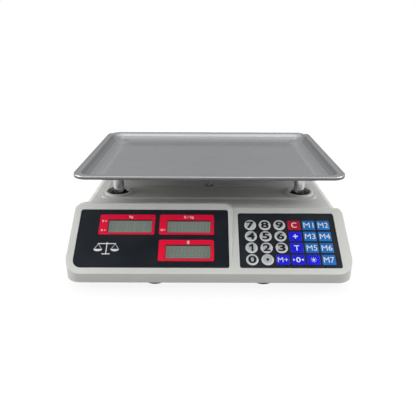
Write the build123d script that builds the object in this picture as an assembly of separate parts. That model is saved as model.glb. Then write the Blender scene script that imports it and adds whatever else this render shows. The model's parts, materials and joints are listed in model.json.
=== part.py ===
from build123d import *
import math
import os

# Retail price scale: counter scale with a stainless weighing pan on four posts,
# a sloped front console (three displays and a 24-key keypad), a shopper's
# display at the back, one load cell and four levelling feet.
# Units are millimetres.  X is to the right seen from the front, Y points to
# the back, Z is up.  The origin is the centre of the footprint, on the counter.

os.makedirs("parts", exist_ok=True)

# --- case ---------------------------------------------------------------------
CASE_W, CASE_D = 341.4, 320.0   # width at the bottom edge, depth
CASE_Z = 10.5                   # bottom edge of the case above the counter
DECK_Z = 72.0                   # flat deck under the pan
FRONT_R, REAR_R = 19.0, 15.0    # corner radii in plan
DRAFT = 0.7                     # draft of the outer side walls, degrees
INNER_DRAFT = DRAFT * 0.9
WALL = 2.6
DECK_HALF = 156.5               # half width of the flat deck
SHOULDER_R = 21.3               # radius between the deck and the side walls
SHOULDER_ANGLE = math.radians(70)   # where the outer shoulder arc meets the deck

CONSOLE_Y, CONSOLE_R = -79.5, 10.0  # back edge of the console and its corner radius
PLANE_Y, PLANE_Z = -152.7, 25.7     # lower edge line of the lens and keypad faces
LENS_TILT, KEY_TILT = 35.7, 32.4    # slopes of the display and keypad faces, degrees
LIP = 1.0                           # raised frame around the lens and keypad
BLOCK_X1, BLOCK_Y1 = 26.8, 88.3     # right and top edges of the raised display block
REAR_BREAK_Y, REAR_END_Y, REAR_LOW_Z = 112.0, 156.5, 24.0   # sloped rear face

# --- displays: x, y here are measured in the sloped faces ------------------------
LENS_X0, LENS_X1, LENS_Y1 = -161.9, 23.8, 79.3
LENS_T = 1.6
LENS_CORNER, LENS_LOW_LEFT = 3.0, 11.0
REAR_LENS = (-100.0, 13.0, 100.0, 53.0)
FIT = 0.1                       # gap round the lenses, film and battery cover
# front openings: x0, y0, x1, y1
WINDOWS = [(-126.0, 46.9, -71.4, 64.5), (-52.3, 47.1, 1.5, 63.8), (-52.4, 12.4, 1.5, 29.9)]
WINDOW_GAP = 1.2
LCD_W, LCD_H, LCD_T = 58.0, 22.0, 5.4
LCD_CENTRES = [(-98.7, 55.7), (-25.4, 55.45), (-25.4, 21.15)]
REAR_CENTRES = [(x, 33.0) for x in (-62.0, 0.0, 62.0)]
REAR_WINDOW_W, REAR_WINDOW_H = 54.0, 18.0
DISPLAY_BOSSES = [(-131.0, 12.0), (-131.0, 70.5), (9.0, 38.0), (-64.0, 26.0)]
REAR_BOSSES = [(x, y) for x in (-94.0, 94.0) for y in (20.0, 46.0)]
BOARD_T = 1.6
DISPLAY_BOARD_FRONT, REAR_BOARD_FRONT, KEY_BOARD_FRONT = -8.6, -8.2, -2.6

# --- keypad: x, y in the keypad face ----------------------------------------------
PAD_X0, PAD_X1, PAD_Y1 = 36.1, 157.7, 77.15
PAD_CORNER = 3.0
FILM_T = 0.8
KEY_X, KEY_PITCH_X = 51.32, 18.25
KEY_Y, KEY_PITCH_Y = 11.31, 16.05
KEY_R = 7.3                     # round keys
KEY_W, KEY_H = 15.6, 13.2       # rectangular keys
KEY_GAP = 0.15                  # clearance round each key
KEY_PROUD = 0.7                 # height of each key above the film
KEY_FLANGE = 0.55
KEY_ROWS = ("7 8 9 clear m1 m2",      # top row first
            "4 5 6 add m3 m4",
            "1 2 3 tare m5 m6",
            "0 point store zero light m7")
KEY_SCREWS = [(39.8, 10.0), (154.4, 10.0), (39.8, 62.0), (154.4, 62.0), (97.0, 72.4)]

# --- pan, posts and load cell -------------------------------------------------------
PAN_Y = 21.4                    # centre of the pan, the posts and the load cell
PAN_W, PAN_D, PAN_R = 340.0, 231.0, 19.0
PAN_RIM_Z, PAN_FLOOR_Z = 118.6, 105.2   # upper faces of the rim and the floor
SHEET = 1.0
PAN_UNDER_Z = PAN_FLOOR_Z - SHEET
POST_DX, POST_DY, POST_R = 125.0, 52.5, 7.5
POSTS = [(side_x * POST_DX, PAN_Y + side_y * POST_DY)
         for side_y in (-1, 1) for side_x in (-1, 1)]
HOLE_R = 16.0                   # deck hole round each post
COLLAR_R, COLLAR_Z = 18.8, 76.4
PLATEAU_X, PLATEAU_Y0, PLATEAU_Y1, PLATEAU_H = 146.0, -51.3, 100.0, 1.8
LEVEL_Y, LEVEL_R, LEVEL_Z = -6.0, 8.0, 68.4     # bubble level
CELL_Z0, CELL_Z1 = 24.0, 46.0
FIXED_BOLTS_X, FREE_BOLTS_X = (-57.0, -37.0), (37.0, 57.0)  # left and right cell ends
BOLT_HOLE_R = 3.1
SPIDER_Z0, SPIDER_Z1, HUB_Z1 = 50.0, 55.0, 57.0

# --- base, power and feet --------------------------------------------------------------
BASE_Z0, BASE_Z1 = 9.2, 12.0    # floor of the base shell
BASE_GAP = 0.5                  # between the base rim and the case wall
RAISED_Z = BASE_Z1 - 0.5        # floor features start here, sunk into the floor
CASE_BOSSES = [(side * x, y) for x, y in ((160.5, -138.0), (161.0, 0.0), (150.0, 138.0))
               for side in (-1, 1)]
CASE_SCREW_Z = 12.6             # underside of the counterbore
BOARD_X0, BOARD_X1, BOARD_Y0, BOARD_Y1 = -153.0, -80.0, -125.0, -72.0   # main board
BOARD_Z = 19.0
BOARD_INSET = 4.0
BOARD_POSTS = [(x, y) for y in (BOARD_Y0 + BOARD_INSET, BOARD_Y1 - BOARD_INSET)
               for x in (BOARD_X0 + BOARD_INSET, BOARD_X1 - BOARD_INSET)]
BATTERY = (-50.0, 50.0, 59.5, 103.5, 11.3, 58.0)    # x0, x1, y0, y1, z0, z1
COVER = (-57.0, 54.0, 57.0, 109.0)                  # recess: x0, y0, x1, y1
INLET_Y, ROCKER_Y, SIDE_Z = 62.0, 90.0, 31.0
PANEL_X = 168.4                 # face of the recessed side panel
ROCKER_X = PANEL_X - 4.0        # rocker pivot axis
ROCKER_TURN = 9.0               # degrees
FOOT_X, FOOT_Y, FOOT_R, FOOT_H = 65.8, 133.2, 15.0, 8.0
FEET = {"fl": (-FOOT_X, -FOOT_Y), "fr": (FOOT_X, -FOOT_Y),
        "rl": (-FOOT_X, FOOT_Y), "rr": (FOOT_X, FOOT_Y)}
STUD_R = 4.0


# --- sloped planes: local x across, local y up the slope, local z outward -------------
def front_plane(tilt):
    angle = math.radians(tilt)
    return Plane(origin=(0, PLANE_Y, PLANE_Z), x_dir=(1, 0, 0),
                 z_dir=(0, -math.sin(angle), math.cos(angle)))


LENS_PLANE = front_plane(LENS_TILT)
KEY_PLANE = front_plane(KEY_TILT)
REAR_ANGLE = math.atan2(DECK_Z - REAR_LOW_Z, REAR_END_Y - REAR_BREAK_Y)
# local x is -X: left to right as the shopper sees it
REAR_PLANE = Plane(origin=(0, REAR_END_Y, REAR_LOW_Z), x_dir=(-1, 0, 0),
                   z_dir=(0, math.sin(REAR_ANGLE), math.cos(REAR_ANGLE)))


# --- helpers ------------------------------------------------------------------------
def rounded_rect(x0, y0, x1, y1, radii=0.0):
    """Rectangle face; radii is one radius, or four counter-clockwise from (x0, y0)."""
    if not isinstance(radii, tuple):
        radii = (radii,) * 4
    # corner x, y, radius and the direction of travel into the corner
    corners = ((x1, y0, radii[1], 1, 0), (x1, y1, radii[2], 0, 1),
               (x0, y1, radii[3], -1, 0), (x0, y0, radii[0], 0, -1))
    bulge = 1 - math.sqrt(0.5)
    edges = []
    last = (x0 + radii[0], y0)
    for x, y, radius, dx, dy in corners:
        start = (x - radius * dx, y - radius * dy)
        end = (x - radius * dy, y + radius * dx)
        edges.append(Line(last, start))
        if radius:
            middle = (x - radius * bulge * (dx + dy), y + radius * bulge * (dx - dy))
            edges.append(ThreePointArc(start, middle, end))
        last = end
    return make_face(Curve() + edges)


def centred_rect(x, y, width, height, radius=0.0):
    return rounded_rect(x - width / 2, y - height / 2, x + width / 2, y + height / 2, radius)


def slab(plane, face, low, high):
    """Extrude a face drawn in a plane between two heights along the plane's normal."""
    return extrude(plane.offset(low) * face, amount=high - low, dir=tuple(plane.z_dir))


def disc(plane, x, y, radius, low, high):
    return slab(plane, Pos(x, y) * Circle(radius), low, high)


def z_slab(face, z0, z1, taper=0.0):
    return extrude(Pos(0, 0, z0) * face, amount=z1 - z0, taper=taper)


def z_cylinder(x, y, radius, z0, z1):
    return Pos(x, y, z0) * Cylinder(radius, z1 - z0, align=(Align.CENTER, Align.CENTER, Align.MIN))


def x_cylinder(y, z, radius, x0, x1):
    return Pos(x0, y, z) * Rot(0, 90, 0) * Cylinder(
        radius, x1 - x0, align=(Align.CENTER, Align.CENTER, Align.MIN))


def z_cone(x, y, z, low_radius, high_radius, height):
    return Pos(x, y, z) * Cone(low_radius, high_radius, height,
                               align=(Align.CENTER, Align.CENTER, Align.MIN))


def box(x0, x1, y0, y1, z0, z1):
    return Pos((x0 + x1) / 2, (y0 + y1) / 2, (z0 + z1) / 2) * Box(x1 - x0, y1 - y0, z1 - z0)


def edges_at_z(shape, z):
    return [edge for edge in shape.edges() if abs(edge.center().Z - z) < 0.01]


def soft_fillet(shape, edges, radius):
    """Fillet what can be filleted, with smaller radii where the full one does not fit."""
    if not edges:
        return shape
    for factor in (1, 0.7, 0.45):
        # guards against the kernel refusing a radius: the next smaller one is tried
        try:
            out = fillet(edges, radius * factor)
            if out.is_valid and len(out.solids()) == len(shape.solids()):
                return out
        except Exception:
            continue
    return shape


def largest(shape):
    """The largest solid of a shape, as a plain solid."""
    return sorted(shape.solids(), key=lambda solid: solid.volume)[-1]


def write(name, *shapes):
    solids = []
    for shape in shapes:
        solids += list(shape.solids())
    piece = solids[0] if len(solids) == 1 else Compound(children=solids)
    export_step(piece, "parts/" + name + ".step")


# --- case envelope: every face moved inwards by inset (0 for the outside) ----------------
def case_prism(inset, back, back_radius, top):
    """Drafted prism of the case plan, from the case front to a given back edge."""
    half_width = CASE_W / 2 - inset
    front_radius = FRONT_R - inset
    plan = rounded_rect(-half_width, -CASE_D / 2 + inset, half_width, back,
                        (front_radius, front_radius, back_radius, back_radius))
    if inset == 0:
        return z_slab(plan, CASE_Z, top, taper=DRAFT)
    return z_slab(plan, 0.0, top, taper=INNER_DRAFT)


def space_above(plane, level):
    return slab(plane, rounded_rect(-220, -60, 220, 220), level, 120)


def shoulder_cut(side, inset):
    """Material outside the rounded shoulder; side is -1 left, 1 right."""
    centre_x = DECK_HALF - SHOULDER_R * math.cos(SHOULDER_ANGLE)
    centre_z = DECK_Z - SHOULDER_R * math.sin(SHOULDER_ANGLE)
    radius = SHOULDER_R - inset
    far_x, far_z = side * 200, 90
    deck_angle = math.asin((DECK_Z - inset - centre_z) / radius)

    def on_arc(angle):
        return (side * (centre_x + radius * math.cos(angle)),
                centre_z + radius * math.sin(angle))

    wall_end, deck_end = on_arc(0), on_arc(deck_angle)
    profile = make_face(Curve() + [
        ThreePointArc(wall_end, on_arc(deck_angle / 2), deck_end),
        Line(deck_end, (deck_end[0], far_z)),
        Line((deck_end[0], far_z), (far_x, far_z)),
        Line((far_x, far_z), (far_x, centre_z)),
        Line((far_x, centre_z), wall_end)])
    behind = Plane(origin=(0, CASE_D / 2 + 5, 0), x_dir=(1, 0, 0), z_dir=(0, -1, 0))
    return extrude(behind * profile, amount=CASE_D + 10, dir=(0, -1, 0))


def body_envelope(inset):
    body = case_prism(inset, CASE_D / 2 - inset, REAR_R - inset, DECK_Z - inset)
    body = body - space_above(KEY_PLANE, LIP - inset) - space_above(REAR_PLANE, -inset)
    for side in (-1, 1):
        body = body - shoulder_cut(side, inset)
    return body


def console_envelope(inset):
    console = case_prism(inset, CONSOLE_Y - inset, CONSOLE_R - inset, DECK_Z - inset)
    console = console - space_above(KEY_PLANE, LIP - inset)
    if inset == 0:
        side_edges = [edge for edge in console.edges()
                      if edge.center().Z > 22 and abs(edge.center().Y - CONSOLE_Y) > 3
                      and abs(abs(edge.center().X) - CASE_W / 2) < 6]
        console = soft_fillet(console, side_edges, 3.0)
    return console


def block_envelope(inset):
    """Raised display block on the left of the console, flared downwards."""
    outline = rounded_rect(-CASE_W / 2 + inset, -30, BLOCK_X1 - inset, BLOCK_Y1 - inset,
                           (1, 1, 8 - inset / 2, 11 - inset / 2))
    top = LENS_PLANE.offset(LIP - inset)
    block = extrude(top * outline, amount=-13, taper=-38 if inset == 0 else -36)
    if inset == 0:
        rim = [edge for edge in block.edges()
               if abs(top.to_local_coords(edge.center()).Z) < 0.05
               and top.to_local_coords(edge.center()).Y > -25]
        block = soft_fillet(block, rim, 2.6)
    block = block & case_prism(inset, CASE_D / 2 - inset, REAR_R - inset, DECK_Z + 12)
    return block - space_above(LENS_PLANE, LIP - inset)


def envelope(inset):
    return (body_envelope(inset) + console_envelope(inset)) + block_envelope(inset)


# --- top case ------------------------------------------------------------------------
def case_with_bosses():
    """Hollow case with thickened pads behind the faces and screw bosses."""
    boss_radius, boss_root = 2.8, -2.0
    outer = envelope(0.0)
    case = outer - envelope(WALL)
    lens_pad = slab(LENS_PLANE, rounded_rect(LENS_X0 - 2, -2, LENS_X1 + 2, LENS_Y1 + 2,
                                             (12, 3, 3, 3)), -3.0, 0.4) & outer
    key_pad = slab(KEY_PLANE, rounded_rect(PAD_X0 - 2, -2, PAD_X1 + 2, PAD_Y1 + 2, 3),
                   -2.6, 0.4) & outer
    rear_pad = slab(REAR_PLANE, rounded_rect(-103, 10, 103, 56, 3), -2.6, -0.2) & outer
    case = case + lens_pad + key_pad + rear_pad
    for x, y in CASE_BOSSES:
        case = case + (z_cylinder(x, y, 4.2, 16.0, 80) & outer)
    for x, y in DISPLAY_BOSSES:
        case = case + disc(LENS_PLANE, x, y, boss_radius, DISPLAY_BOARD_FRONT, boss_root)
    for x, y in REAR_BOSSES:
        case = case + disc(REAR_PLANE, x, y, boss_radius, REAR_BOARD_FRONT, boss_root)
    side_pad = box(PANEL_X - 2.6, 170.0, 46, 112, 17, 45) & outer
    return case + side_pad


def add_deck_features(case):
    """Plateau under the pan, four collars, rib and level boss."""
    sunk = DECK_Z - 0.4
    skirt = 1.5
    case = case + z_slab(rounded_rect(-PLATEAU_X - skirt, PLATEAU_Y0 - skirt,
                                      PLATEAU_X + skirt, PLATEAU_Y1 + skirt, 10),
                         sunk, DECK_Z + PLATEAU_H, taper=45)
    for x, y in POSTS:
        collar = z_cone(x, y, sunk, COLLAR_R + 1.6, COLLAR_R, COLLAR_Z - DECK_Z + 0.4)
        case = case + soft_fillet(collar, edges_at_z(collar, COLLAR_Z), 0.8)
    case = case + box(-96, 96, -6.6, -5.4, DECK_Z + 1, DECK_Z + 2.7)
    return case + z_cylinder(0, LEVEL_Y, 10.4, 66.4, DECK_Z + 2.9)


def cut_openings(case):
    """Pockets, windows, post holes, pilot holes and the side panel."""
    lens_radii = (LENS_LOW_LEFT,) + (LENS_CORNER,) * 3
    case = case - slab(LENS_PLANE, rounded_rect(LENS_X0, 0, LENS_X1, LENS_Y1, lens_radii),
                       -LENS_T, 20)
    for x0, y0, x1, y1 in WINDOWS:
        window = rounded_rect(x0 - WINDOW_GAP, y0 - WINDOW_GAP,
                              x1 + WINDOW_GAP, y1 + WINDOW_GAP, 1)
        case = case - slab(LENS_PLANE, window, -6, 1)
    case = case - slab(KEY_PLANE, rounded_rect(PAD_X0, 0, PAD_X1, PAD_Y1, PAD_CORNER),
                       -FILM_T, 20)
    case = case - slab(KEY_PLANE, rounded_rect(42.2, 2.4, 152.2, 68.8, 1.5), -5, 1)
    for x, y in KEY_SCREWS:
        case = case - disc(KEY_PLANE, x, y, 1.05, -3, -1.1)
    case = case - slab(REAR_PLANE, rounded_rect(*REAR_LENS, LENS_CORNER), -LENS_T, 20)
    for x, y in REAR_CENTRES:
        window = centred_rect(x, y, REAR_WINDOW_W, REAR_WINDOW_H, 1)
        case = case - slab(REAR_PLANE, window, -6, 1)
    for x, y in POSTS:
        case = case - z_cylinder(x, y, HOLE_R, 55, 90)
    case = case - z_cylinder(0, LEVEL_Y, LEVEL_R + 0.05, LEVEL_Z, 90)
    for x, y in CASE_BOSSES:
        case = case - z_cylinder(x, y, 1.65, 10, 30.5)
    for x, y in DISPLAY_BOSSES:
        case = case - disc(LENS_PLANE, x, y, 1.25, -9, -3.6)
    for x, y in REAR_BOSSES:
        case = case - disc(REAR_PLANE, x, y, 1.25, -9, -3.2)
    case = case - box(PANEL_X, 180, 50, 108, 20, 42)
    case = case - box(150, 180, ROCKER_Y - 10.1, ROCKER_Y + 10.1, SIDE_Z - 6.6, SIDE_Z + 6.6)
    return case - x_cylinder(INLET_Y, SIDE_Z, 5.1, 150, 180)


def top_case():
    return largest(cut_openings(add_deck_features(case_with_bosses())))


# --- base shell --------------------------------------------------------------------------
def base_plan(inset):
    half_width = CASE_W / 2 - WALL - BASE_GAP - inset
    half_depth = CASE_D / 2 - WALL - BASE_GAP - inset
    return rounded_rect(-half_width, -half_depth, half_width, half_depth,
                        (16 - inset, 16 - inset, 12 - inset, 12 - inset))


def base_shell():
    rib_z = 17
    floor = z_slab(base_plan(0), BASE_Z0, BASE_Z1)
    rim = z_slab(base_plan(0), BASE_Z1, BASE_Z1 + 3.5) \
        - z_slab(base_plan(2), BASE_Z1 - 1, BASE_Z1 + 5)
    base = floor + rim
    for x, y in FEET.values():
        base = base + z_cylinder(x, y, 9.0, RAISED_Z, 20.0)
    for x in (-100, 100):
        base = base + box(x - 1, x + 1, -110, 120, RAISED_Z, rib_z)
    base = base + box(-120, 120, -66, -64, RAISED_Z, rib_z)
    stop_place = 0.86       # overload stops sit this far out along the spider arms
    for x, y in POSTS:
        base = base + z_cylinder(x * stop_place, PAN_Y + (y - PAN_Y) * stop_place,
                                 5.0, RAISED_Z, 49.2)
    for x, y in CASE_BOSSES:
        base = base + z_cylinder(x, y, 4.3, RAISED_Z, 15.8)
    for x, y in BOARD_POSTS:
        base = base + z_cylinder(x, y, 3.0, RAISED_Z, BOARD_Z)
    # walls behind and in front of the battery
    base = base + box(-54, 54, 108.2, 110.2, RAISED_Z, 30) + box(-54, 54, 53.8, 55.6, RAISED_Z, 24)
    for x, y in FEET.values():
        base = base - z_cylinder(x, y, STUD_R + 0.05, 5, 30)
    for x, y in CASE_BOSSES:
        base = base - z_cylinder(x, y, 1.9, 5, 20) - z_cylinder(x, y, 3.6, 5, CASE_SCREW_Z)
    for x, y in BOARD_POSTS:
        base = base - z_cylinder(x, y, 1.25, 13.0, 25)
    # battery opening and the recess of its cover
    base = base - box(-53.5, 53.5, 57.5, 105.5, 5, 14)
    base = base - z_slab(rounded_rect(*COVER, 3), 5, 10.8)
    for x in FIXED_BOLTS_X:
        base = base - z_cylinder(x, PAN_Y, BOLT_HOLE_R, 5, 14)
    return largest(base)


# --- displays and circuit boards ------------------------------------------------------------
def display_lens():
    corner = LENS_CORNER - FIT
    outline = rounded_rect(LENS_X0 + FIT, FIT, LENS_X1 - FIT, LENS_Y1 - FIT,
                           (LENS_LOW_LEFT - FIT, corner, corner, corner))
    return slab(LENS_PLANE, outline, -LENS_T, 0)


def rear_lens():
    x0, y0, x1, y1 = REAR_LENS
    outline = rounded_rect(x0 + FIT, y0 + FIT, x1 - FIT, y1 - FIT, LENS_CORNER - FIT)
    return slab(REAR_PLANE, outline, -LENS_T, 0)


def lcds(plane, centres, front):
    return [slab(plane, centred_rect(x, y, LCD_W, LCD_H, 0.6), front - LCD_T, front)
            for x, y in centres]


def circuit_board(plane, outline, front, holes, hole_radius, chips=(), chip_height=0.0):
    """Board behind a sloped face; chips on its back are x, y, width, height."""
    back = front - BOARD_T
    board = slab(plane, rounded_rect(*outline, 2), back, front)
    for chip in chips:
        board = board + slab(plane, centred_rect(*chip), back - chip_height, back + 0.2)
    for x, y in holes:
        board = board - disc(plane, x, y, hole_radius, back - 3, front + 1)
    return largest(board)


def display_board():
    chips = ((-100, 18, 20, 12), (-78, 55, 12, 8), (-30, 38, 24, 9), (-110, 55, 9, 9))
    return circuit_board(LENS_PLANE, (-135, 6, 13, 75), DISPLAY_BOARD_FRONT,
                         DISPLAY_BOSSES, 1.5, chips, chip_height=1.8)


def rear_board():
    chips = ((-45, 30, 18, 8), (40, 36, 18, 8))
    return circuit_board(REAR_PLANE, (-98, 15, 98, 51), REAR_BOARD_FRONT,
                         REAR_BOSSES, 1.5, chips, chip_height=1.6)


def keypad_board():
    return circuit_board(KEY_PLANE, (38, 0.8, 156.2, 75.6), KEY_BOARD_FRONT, KEY_SCREWS, 1.25)


def main_board():
    board = box(BOARD_X0, BOARD_X1, BOARD_Y0, BOARD_Y1, BOARD_Z, BOARD_Z + BOARD_T)
    # chips: x, y, width, depth, height
    for x, y, width, depth, height in ((-120, -100, 14, 14, 2), (-104, -80, 18, 8, 4),
                                       (-94, -110, 8, 12, 6), (-140, -94, 10, 18, 5)):
        board = board + box(x - width / 2, x + width / 2, y - depth / 2, y + depth / 2,
                            BOARD_Z + 1.4, BOARD_Z + BOARD_T + height)
    for x, y in BOARD_POSTS:
        board = board - z_cylinder(x, y, 1.5, 15, 25)
    return largest(board)


# --- keypad -----------------------------------------------------------------------------
def key_outline(x, y, is_round, grow):
    if is_round:
        return Pos(x, y) * Circle(KEY_R + grow)
    return centred_rect(x, y, KEY_W + 2 * grow, KEY_H + 2 * grow, 1.0 + grow * 0.5)


def key_places():
    """Name, centre and roundness of each key, row by row from the top left."""
    places = []
    for row, names in enumerate(KEY_ROWS):
        for column, name in enumerate(names.split()):
            places.append((name, KEY_X + column * KEY_PITCH_X,
                           KEY_Y + (len(KEY_ROWS) - 1 - row) * KEY_PITCH_Y,
                           name.isdigit() or name == "point"))
    return places


def key_cap(x, y, is_round):
    cap = slab(KEY_PLANE, key_outline(x, y, is_round, 0.0), -1.2, KEY_PROUD)
    top = [edge for edge in cap.edges()
           if abs(KEY_PLANE.to_local_coords(edge.center()).Z - KEY_PROUD) < 0.02]
    cap = soft_fillet(cap, top, 0.35)
    return largest(cap + slab(KEY_PLANE, key_outline(x, y, is_round, KEY_FLANGE), -1.65, -0.88))


def keypad_overlay():
    outline = rounded_rect(PAD_X0 + FIT, FIT, PAD_X1 - FIT, PAD_Y1 - FIT, PAD_CORNER - FIT)
    film = slab(KEY_PLANE, outline, -FILM_T, 0)
    for _, x, y, is_round in key_places():
        film = film - slab(KEY_PLANE, key_outline(x, y, is_round, KEY_GAP), -2, 1)
    return largest(film)


# --- level, load cell, spider, posts ---------------------------------------------------------
def bubble_level():
    top = DECK_Z + 3.3
    level = z_cylinder(0, LEVEL_Y, LEVEL_R, LEVEL_Z, top)
    return largest(soft_fillet(level, edges_at_z(level, top), 0.8))


def load_cell():
    bore_x = 11.0
    middle_z = (CELL_Z0 + CELL_Z1) / 2
    cell = box(-65, 65, PAN_Y - 15, PAN_Y + 15, CELL_Z0, CELL_Z1)
    for x in (-bore_x, bore_x):
        cell = cell - (Pos(x, PAN_Y, middle_z) * Rot(90, 0, 0) * Cylinder(8.5, 60))
    cell = cell - box(-bore_x, bore_x, PAN_Y - 20, PAN_Y + 20, middle_z - 1.5, middle_z + 1.5)
    for x in FIXED_BOLTS_X:
        cell = cell - z_cylinder(x, PAN_Y, 3.05, 20, 38)
    for x in FREE_BOLTS_X:
        cell = cell - z_cylinder(x, PAN_Y, 3.05, 32, 50)
    return largest(cell)


def cell_spacer():
    spacer = box(-65, -29, PAN_Y - 13, PAN_Y + 13, BASE_Z1, CELL_Z0)
    for x in FIXED_BOLTS_X:
        spacer = spacer - z_cylinder(x, PAN_Y, BOLT_HOLE_R, 10, 30)
    return largest(spacer)


def spider():
    arm_angle = math.degrees(math.atan2(POST_DY, POST_DX))
    arm_length = 2 * math.hypot(POST_DX, POST_DY)
    plate = z_slab(rounded_rect(-62, PAN_Y - 20, 68, PAN_Y + 20, 8), SPIDER_Z0, SPIDER_Z1)
    for side in (-1, 1):
        turn = Rot(0, 0, side * arm_angle)
        arm = Pos(0, PAN_Y) * (turn * Rectangle(arm_length, 18))
        plate = plate + z_slab(arm, SPIDER_Z0, SPIDER_Z1)
        rib = Pos(0, PAN_Y) * (turn * Rectangle(arm_length - 30, 3))
        plate = plate + z_slab(rib, SPIDER_Z1 - 1, 59)
    for x, y in POSTS:
        plate = plate + z_cylinder(x, y, 13.0, SPIDER_Z0, HUB_Z1)
    # pad down to the load cell, and room above it for the bolt heads
    plate = plate + box(29, 65, PAN_Y - 12, PAN_Y + 12, CELL_Z1, SPIDER_Z0 + 1)
    plate = plate - box(28, 68, PAN_Y - 9, PAN_Y + 9, SPIDER_Z1, 64)
    for x in FREE_BOLTS_X:
        plate = plate - z_cylinder(x, PAN_Y, BOLT_HOLE_R, 40, 60)
    for x, y in POSTS:
        plate = plate - z_cylinder(x, y, 4.04, 40, 60)
    return largest(plate)


def pan_post(x, y):
    post = z_cylinder(x, y, POST_R, HUB_Z1, PAN_UNDER_Z) + z_cylinder(x, y, 4.0, 48.5, 58)
    return largest(soft_fillet(post, edges_at_z(post, PAN_UNDER_Z), 1.0))


def post_boot(x, y):
    return largest(z_cone(x, y, HUB_Z1, 11.0, 10.2, 18.2)
                   - z_cylinder(x, y, POST_R + 0.04, 50, 80))


# --- pan ---------------------------------------------------------------------------------
def pan_section(inset, z, radius):
    half_width, half_depth = PAN_W / 2, PAN_D / 2
    return Pos(0, PAN_Y, z) * rounded_rect(-half_width + inset, -half_depth + inset,
                                           half_width - inset, half_depth - inset, radius)


def section_stack(sections):
    """Ruled lofts between successive sections, listed from the top down."""
    stack = None
    for upper, lower in zip(sections[:-1], sections[1:]):
        step = loft([pan_section(*lower), pan_section(*upper)], ruled=True)
        stack = step if stack is None else stack + step
    return stack


def pan():
    rim = PAN_RIM_Z
    # columns of both tables: inset from the pan edge, z, corner radius
    hollow = section_stack([
        (2.2, rim + 0.5, PAN_R - 2.0), (2.6, rim - 0.55, PAN_R - 2.2),
        (8.2, rim - 0.75, 15.0), (9.0, rim - 1.6, 15.0), (11.5, rim - 5.0, 15.0),
        (15.5, rim - 8.4, 15.5), (20.5, rim - 11.0, 17.0), (26.0, rim - 12.8, 19.0),
        (31.0, PAN_FLOOR_Z, 21.0)])
    skin = section_stack([
        (7.2, rim - 1.0, 16.0), (8.2, rim - 2.25, 15.8), (10.75, rim - 5.7, 15.75),
        (14.95, rim - 9.25, 16.05), (20.1, rim - 11.95, 17.4), (25.8, rim - 13.8, 19.2),
        (30.95, PAN_UNDER_Z, 21.05)])
    edge_height = 4.6
    edge = extrude(pan_section(0, rim - edge_height, PAN_R), amount=edge_height)
    edge = soft_fillet(edge, edges_at_z(edge, rim), 1.5)
    edge = soft_fillet(edge, edges_at_z(edge, rim - edge_height), 1.0)
    under = extrude(pan_section(1.2, rim - 5.2, PAN_R - 1.2), amount=3.6)
    dish = (edge - under) + skin - hollow
    for x, y in POSTS:      # sockets that locate the posts
        dish = dish + (z_cylinder(x, y, 11.0, PAN_UNDER_Z - 3.0, PAN_UNDER_Z + 0.4)
                       - z_cylinder(x, y, POST_R + 0.25, PAN_UNDER_Z - 4, PAN_UNDER_Z))
    return largest(dish)


# --- battery, switch and inlet -----------------------------------------------------------
def battery():
    block = box(*BATTERY)
    block = soft_fillet(block, block.edges().filter_by(Axis.Z), 2.0)
    return largest(block + box(-44, -38, 64, 70, 57, 60.5) + box(-44, -38, 93, 99, 57, 60.5))


def battery_cover():
    x0, y0, x1, y1 = COVER
    gap = 2 * FIT
    cover = z_slab(rounded_rect(x0 + gap, y0 + gap, x1 - gap, y1 - gap, 2.8),
                   BASE_Z0 + 0.1, 10.7)
    for y in range(62, 104, 6):     # grooves across the underside
        cover = cover - box(-20, 20, y - 1, y + 1, BASE_Z0, BASE_Z0 + 0.7)
    return largest(cover)


def switch_housing():
    def centred(x0, x1, half_y, half_z):
        return box(x0, x1, ROCKER_Y - half_y, ROCKER_Y + half_y, SIDE_Z - half_z, SIDE_Z + half_z)

    inner_x = PANEL_X - 17
    housing = centred(inner_x, PANEL_X, 10, 6.5) + centred(PANEL_X, PANEL_X + 1.2, 12, 8.5)
    housing = housing - centred(PANEL_X - 10, 180, 8.4, 5.1)
    housing = housing - (Pos(ROCKER_X, ROCKER_Y, SIDE_Z) * Cylinder(1.27, 12.4))
    for dy in (-6, 0, 6):           # terminals
        y = ROCKER_Y + dy
        housing = housing + box(inner_x - 6, inner_x + 1, y - 0.4, y + 0.4,
                                SIDE_Z - 2.4, SIDE_Z + 2.4)
    return largest(housing)


def power_rocker():
    width = 9.9
    # profile points: along +Y, outward along +X, from the pivot
    profile = make_face(Polyline((-7.6, -0.4), (-7.6, 4.9), (0, 3.4), (7.6, 4.9),
                                 (7.6, -0.4), (3.2, -3.6), (-3.2, -3.6), close=True))
    plane = Plane(origin=(ROCKER_X, ROCKER_Y, SIDE_Z - width / 2), x_dir=(0, 1, 0),
                  z_dir=(0, 0, -1))
    rocker = extrude(plane * profile, amount=width, dir=(0, 0, 1))
    rocker = rocker + (Pos(ROCKER_X, ROCKER_Y, SIDE_Z) * Cylinder(1.22, 12.2))
    at_origin = Pos(-ROCKER_X, -ROCKER_Y, -SIDE_Z) * rocker
    return largest(Pos(ROCKER_X, ROCKER_Y, SIDE_Z) * (Rot(0, 0, -ROCKER_TURN) * at_origin))


def power_inlet():
    def barrel(radius, start, end):
        """Cylinder on the inlet axis, between two distances from the panel face."""
        return x_cylinder(INLET_Y, SIDE_Z, radius, PANEL_X + start, PANEL_X + end)

    inlet = barrel(5.0, -14, 0.2) + barrel(7.0, 0, 1.4)
    inlet = inlet - barrel(2.85, -9, 3)
    inlet = inlet + barrel(1.0, -9.5, -0.5)
    return largest(inlet + box(PANEL_X - 19, PANEL_X - 13.5, INLET_Y - 0.4, INLET_Y + 0.4,
                               SIDE_Z - 1.5, SIDE_Z + 1.5))


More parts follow.
